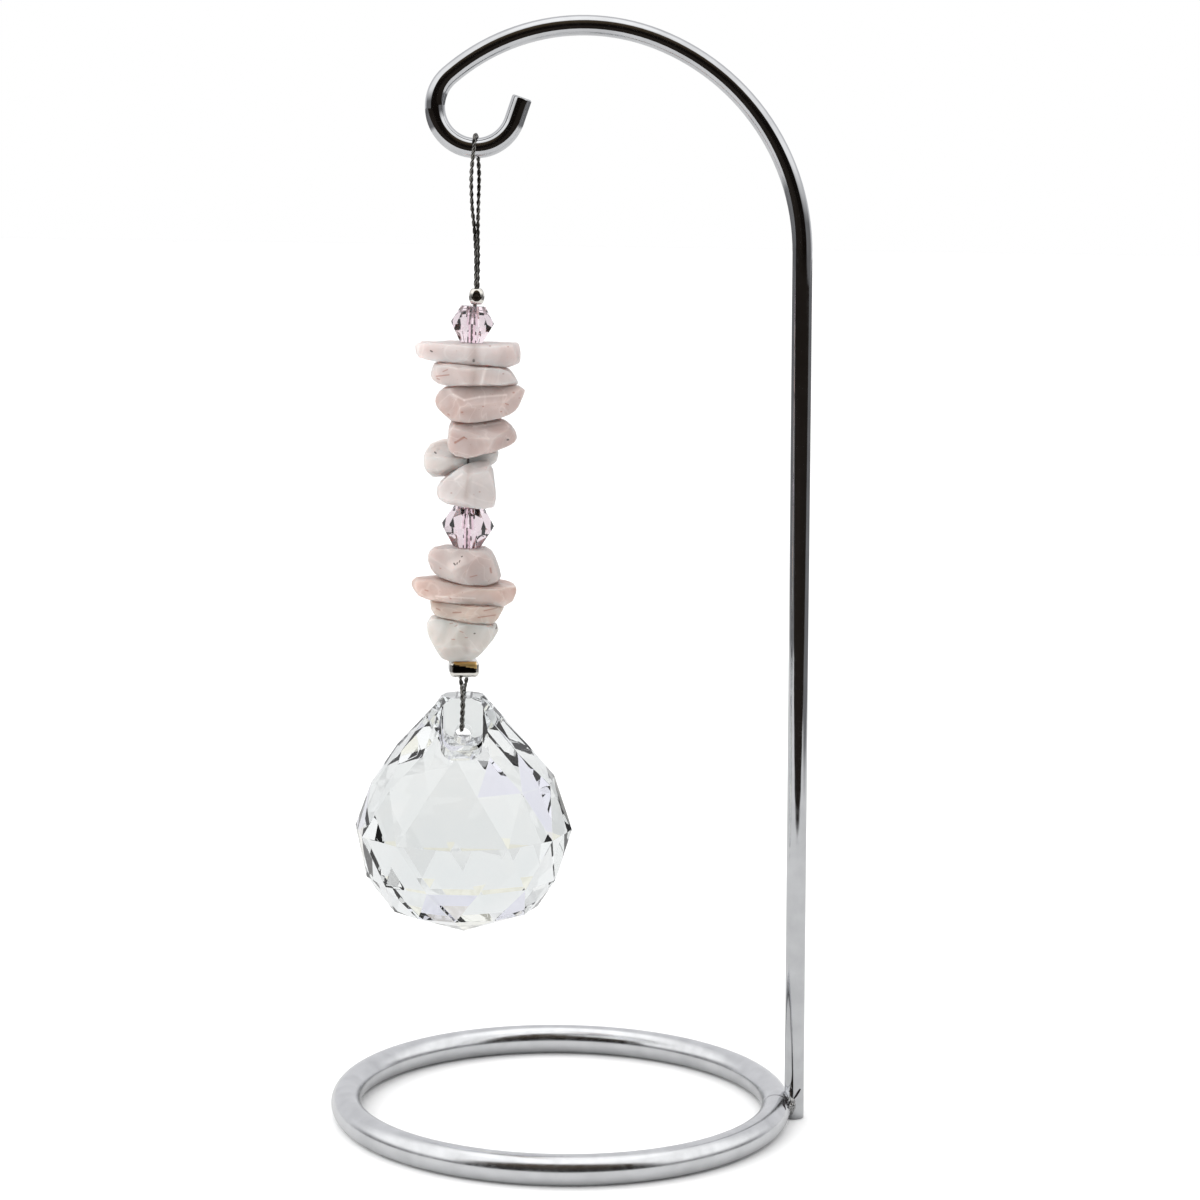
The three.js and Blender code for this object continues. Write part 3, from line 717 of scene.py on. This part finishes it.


# Square bead
# Silver-plated brass bead, square with rounded edges and a drilled middle. Its four faces
# carry a painted dark reflection, its edges keep the bright plate, and a strip along the top
# of its front face is a painted warm reflection.
def rounded_square(half, corner, height_half, edges, bore, middle, turn_by):
    """Square block with round corners, soft lower and upper edges and a bore, sizes in mm."""
    levels = []
    for side, edge in zip((-1, 1), edges):
        for degrees in range(0, 91, 15):
            turn = math.radians(degrees)
            height = side * (height_half - edge * (1 - math.sin(turn)))
            levels.append((edge * (1 - math.cos(turn)), height))
    levels += [(0.0, 0.1 * step) for step in range(-3, 5)]
    levels.sort(key=lambda level: level[1])
    corners = []
    arc = 10
    run = 8
    outline = 4 * (arc + run)
    for inset, height in levels:
        round_off = max(corner - inset, 0.15)
        reach = half - inset - round_off
        starts = []
        for quarter in range(4):
            base_x = reach * (1 if quarter in (0, 3) else -1)
            base_y = reach * (1 if quarter in (0, 1) else -1)
            for step in range(arc):
                turn = math.radians(90 * (quarter + step / (arc - 1)))
                starts.append((base_x + round_off * math.cos(turn), base_y + round_off * math.sin(turn)))
        for k, here in enumerate(starts):
            corners.append(Vector((*here, height)))
            if k % arc == arc - 1:
                there = Vector((*starts[(k + 1) % len(starts)], height))
                for step in range(1, run + 1):
                    corners.append(Vector((*here, height)).lerp(there, step / (run + 1)))
    for height in (height_half, -height_half):
        for k in range(outline):
            turn = 2 * math.pi * (k + 0.5) / outline
            corners.append(Vector((bore * math.cos(turn), bore * math.sin(turn), height)))
    faces = []
    rings = len(corners) // outline
    for ring in range(rings):
        here = ring * outline
        there = (ring + 1) % rings * outline
        for k in range(outline):
            k2 = (k + 1) % outline
            faces.append((here + k, here + k2, there + k2, there + k))
    spin = Matrix.Rotation(turn_by, 3, "Z")
    return [middle + (spin @ corner) * mm for corner in corners], faces


bead_middle = (bead_low + bead_high) / 2
bead_turn = math.radians(6)
bead_half = 2.0
bead_corner = 0.7
bead_height_half = 1.1
bead_edges = (0.7, 0.55)
bead_bore = 0.6
square_bead = made("square_bead_silver", [rounded_square(
    bead_half, bead_corner, bead_height_half, bead_edges, bead_bore, bead_middle, bead_turn)])
settle(square_bead, silver, "silver", "square_bead")
# Two painted reflections: a dark one for the flat faces and a warm one for a strip on the front.
dark_reflection_paint = plated("silver_painted_dark_reflection", srgb(52, 48, 43), srgb(20, 18, 16), 0.1, 0.24, 0.00002, 0.000002)
warm_reflection_paint = plated("painted_warm_reflection", srgb(250, 216, 150), srgb(224, 178, 104), 0.4, 0.55, 0.00002, 0.000002)
square_bead.data.materials.append(dark_reflection_paint)
square_bead.data.materials.append(warm_reflection_paint)
for face in square_bead.data.polygons:
    place = Matrix.Rotation(-bead_turn, 3, "Z") @ (face.center - bead_middle) / mm
    # Painted dark reflection on the flat middle of each of the four faces.
    on_side = abs(face.normal.z) < 0.5 and max(abs(place.x), abs(place.y)) > 1.85
    if on_side and min(abs(place.x), abs(place.y)) < 1.5 and -0.32 < place.z < 0.6:
        face.material_index = 1
    # Painted warm reflection: a strip along the top of the front face.
    if place.y < -1.3 and place.z > 0.5 - 0.2 * place.x and -1.5 < place.x < 1.6:
        face.material_index = 2


# Crystal ball
# Clear lead crystal, cut in rows of triangles, with a flattened neck that is drilled
# across for the wire. The edges between facets are polished by a hair's breadth.
clear_glass = cut_glass("clear_crystal", srgb(252, 253, 253), srgb(247, 250, 251), 0.0, glass_index)
ball_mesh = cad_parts["crystal_ball"].data.copy()
ball = bpy.data.objects.new("crystal_ball_cut", ball_mesh)
bpy.context.scene.collection.objects.link(ball)
settle(ball, clear_glass, "clear_glass", "crystal_ball")
# A few facets carry a faint painted colour, standing for the rainbow fire that cut crystal throws.
painted_fire_tints = [
    cut_glass("painted_fire_straw", srgb(255, 252, 232), srgb(254, 249, 222), 0.0, glass_index),
    cut_glass("painted_fire_lilac", srgb(238, 236, 255), srgb(232, 230, 253), 0.0, glass_index),
    cut_glass("painted_fire_rose", srgb(255, 241, 235), srgb(253, 236, 228), 0.0, glass_index),
    cut_glass("painted_fire_sea", srgb(222, 247, 246), srgb(214, 243, 242), 0.0, glass_index),
    cut_glass("painted_fire_amber", srgb(246, 208, 150), srgb(240, 194, 130), 0.0, glass_index),
    cut_glass("drilled_crystal", srgb(244, 246, 246), srgb(236, 239, 239), 0.3, glass_index),
]
# A facet's lot, 0 to 99, comes from the way it faces. These are the lots up to each painted fire colour.
# Large facets take the first two colours only.
painted_fire_shares = (12, 24, 33, 38, 42)
large_facet = 14 * mm * mm
edge_polish = 0.03 * mm
for tint in painted_fire_tints:
    ball_mesh.materials.append(tint)
hole_x = string_at(hole_z).x
cut_ball = bmesh.new()
cut_ball.from_mesh(ball_mesh)
bmesh.ops.remove_doubles(cut_ball, verts=cut_ball.verts, dist=0.001 * mm)
bmesh.ops.dissolve_limit(cut_ball, angle_limit=math.radians(0.3), verts=cut_ball.verts,
                         edges=cut_ball.edges)
for face in cut_ball.faces:
    middle = face.calc_center_median()
    lot = round(40 * (face.normal.x + 1)) * 17 + round(40 * (face.normal.z + 1)) * 29
    lot = (lot + round(40 * (face.normal.y + 1)) * 7) % 100
    most = painted_fire_shares[1 if face.calc_area() > large_facet else -1]
    if abs(face.normal.y) < 0.86 and middle.z < neck_top - 8 * mm and lot < most:
        face.material_index = 1 + sum(1 for share in painted_fire_shares if lot >= share)
    if math.hypot(middle.x - hole_x, middle.z - hole_z) < 1.1 * mm and abs(face.normal.y) < 0.5:
        face.material_index = len(painted_fire_tints)
polished = []
for edge in cut_ball.edges:
    if edge.is_manifold and edge.calc_face_angle(0) > math.radians(3):
        polished.append(edge)
bmesh.ops.bevel(cut_ball, geom=polished, offset=edge_polish, segments=1, affect="EDGES", material=0,
                clamp_overlap=True)
cut_ball.to_mesh(ball_mesh)
cut_ball.free()


# Table, light and camera
# A white table top in a pale room, with big soft lights to its left, right and front.
# Chrome, glass, stones and camera are each given their own room, so this isn't one real one.
table_mesh = bpy.data.meshes.new("table")
reach = 3.0
table_corners = [(-reach, -reach, 0), (reach, -reach, 0), (reach, reach, 0), (-reach, reach, 0)]
table_mesh.from_pydata(table_corners, [], [(0, 1, 2, 3)])
table = bpy.data.objects.new("table", table_mesh)
bpy.context.scene.collection.objects.link(table)
table_white, nodes, links, skin = new_finish("table_white")
skin.inputs["Roughness"].default_value = 0.7
colour = blended(nodes, links, between(nodes, links, grain(nodes, links, 40, 4), 0, 1),
                 srgb(250, 250, 250), srgb(246, 246, 246))
links.new(colour, skin.inputs["Base Color"])
table_mesh.materials.append(table_white)
table.location.z = -0.00002

room = bpy.data.worlds.new("pale_room")
bpy.context.scene.world = room
room.use_nodes = True
nodes = room.node_tree.nodes
links = room.node_tree.links
nodes.clear()
way = nodes.new("ShaderNodeTexCoord")
axis = nodes.new("ShaderNodeSeparateXYZ")
links.new(way.outputs["Generated"], axis.inputs["Vector"])
seen = nodes.new("ShaderNodeLightPath")


def weighed(nodes, links, first, weight, second):
    """First value plus weight times the second one."""
    sum_up = nodes.new("ShaderNodeMath")
    sum_up.operation = "MULTIPLY_ADD"
    links.new(second, sum_up.inputs[0])
    sum_up.inputs[1].default_value = weight
    links.new(first, sum_up.inputs[2])
    return sum_up.outputs[0]


across = axis.outputs["X"]
far = axis.outputs["Y"]
high = axis.outputs["Z"]
# What the chrome sees: a grey room, light above, with a dark end behind the camera.
front = weighed(nodes, links, far, -0.207, high)
chrome_room = blended(nodes, links, between(nodes, links, high, 0, 1, 0.1, 0.34),
                      (0.2, 0.2, 0.205, 1), (1.25, 1.25, 1.25, 1))
chrome_room = blended(nodes, links, between(nodes, links, far, 0, 1, 0.25, 0.6), chrome_room,
                      (0.78, 0.78, 0.8, 1))
dark_end = blended(nodes, links, between(nodes, links, high, 0, 1, 0.3, 0.7),
                   (0.008, 0.006, 0.005, 1), (0.075, 0.055, 0.035, 1))
chrome_room = blended(nodes, links, between(nodes, links, front, 1, 0, -0.73, -0.65), chrome_room,
                      dark_end)
chrome_room = blended(nodes, links, between(nodes, links, high, 0, 1, 0.87, 0.93), chrome_room,
                      (1.5, 1.5, 1.5, 1))
# What shows through the glass: pale all round, dark low behind the camera.
glass_room = blended(nodes, links, between(nodes, links, far, 0, 1, 0.3, 0.9),
                     (1.02, 1.02, 1.02, 1), (0.86, 0.87, 0.865, 1))
glass_room = blended(nodes, links, between(nodes, links, front, 1, 0, -0.96, -0.9), glass_room,
                     (0.18, 0.18, 0.185, 1))
# What lights the stones and the table: brighter from above and from the left.
slope = weighed(nodes, links, high, -0.5, across)
soft_room = blended(nodes, links, between(nodes, links, slope, 0, 1, -0.4, 1.1),
                    (0.5, 0.5, 0.5, 1), (1.62, 1.62, 1.62, 1))
tone = blended(nodes, links, seen.outputs["Is Glossy Ray"], soft_room, chrome_room)
tone = blended(nodes, links, seen.outputs["Is Transmission Ray"], tone, glass_room)
shown = blended(nodes, links, seen.outputs["Is Camera Ray"], tone, (1, 1, 1, 1))
light = nodes.new("ShaderNodeBackground")
links.new(shown, light.inputs["Color"])
output = nodes.new("ShaderNodeOutputWorld")
links.new(light.outputs["Background"], output.inputs["Surface"])

for name, place, size, power in (
        ("left_softbox", (-0.75, -0.1, 0.55), 0.5, 1.6),
        ("right_softbox", (0.8, 0.1, 0.45), 0.4, 0.8),
        ("front_fill", (-0.25, -0.7, 0.4), 0.6, 1.6)):
    lamp = bpy.data.lights.new(name, "AREA")
    lamp.energy = power
    lamp.size = size
    holder = bpy.data.objects.new(name, lamp)
    holder.location = place
    holder.rotation_euler = (Vector((0, 0, 0.07)) - Vector(place)).to_track_quat("-Z", "Y").to_euler()
    holder.visible_glossy = False
    holder.visible_transmission = False
    bpy.context.scene.collection.objects.link(holder)

# The table as chrome and glass see it: a grey sheet, dark beyond its edge. The camera
# doesn't see it, and it casts no shadow.
sheet_mesh = bpy.data.meshes.new("grey_sheet")
sheet_mesh.from_pydata(table_corners, [], [(0, 1, 2, 3)])
sheet = bpy.data.objects.new("grey_sheet", sheet_mesh)
sheet.location.z = 0.00001
bpy.context.scene.collection.objects.link(sheet)
sheet_grey, nodes, links, skin = new_finish("sheet_grey")
place = nodes.new("ShaderNodeTexCoord")
axis = nodes.new("ShaderNodeSeparateXYZ")
links.new(place.outputs["Object"], axis.inputs["Vector"])
sideways = nodes.new("ShaderNodeMath")
sideways.operation = "ABSOLUTE"
links.new(axis.outputs["X"], sideways.inputs[0])
tone = blended(nodes, links, between(nodes, links, sideways.outputs[0], 0, 1, 0.26, 0.32),
               (0.6, 0.6, 0.6, 1), (0.15, 0.15, 0.155, 1))
tone = blended(nodes, links, between(nodes, links, axis.outputs["Y"], 1, 0, -0.19, -0.175), tone,
               (0.015, 0.012, 0.01, 1))
seen = nodes.new("ShaderNodeLightPath")
tone = blended(nodes, links, seen.outputs["Is Transmission Ray"], tone, (0.58, 0.585, 0.58, 1))
links.new(tone, skin.inputs["Base Color"])
skin.inputs["Roughness"].default_value = 1
skin.inputs["Specular IOR Level"].default_value = 0
sheet_mesh.materials.append(sheet_grey)
sheet.visible_camera = False
sheet.visible_diffuse = False
sheet.visible_shadow = False

# The camera that fits the photo: its focal length in pixels of the 1200 pixel frame.
frame_width = 1200
focal_pixels = 3185
yaw = math.radians(0.583)
pitch = math.radians(8.599)
roll = math.radians(0.879)
forward = Vector((math.sin(yaw) * math.cos(pitch), math.cos(yaw) * math.cos(pitch), -math.sin(pitch)))
level = Vector((math.cos(yaw), -math.sin(yaw), 0))
upright = level.cross(forward)
right = math.cos(roll) * level + math.sin(roll) * upright
up = math.cos(roll) * upright - math.sin(roll) * level
lens = bpy.data.cameras.new("photo_camera")
lens.sensor_width = 36
lens.lens = focal_pixels / frame_width * lens.sensor_width
lens.clip_start = 0.01
camera = bpy.data.objects.new("photo_camera", lens)
turn = Matrix((right, up, -forward)).transposed()
camera.matrix_world = Matrix.Translation((-0.000975, -0.4289, 0.1375)) @ turn.to_4x4()
bpy.context.scene.collection.objects.link(camera)
bpy.context.scene.camera = camera
bpy.context.scene.view_settings.view_transform = "Standard"
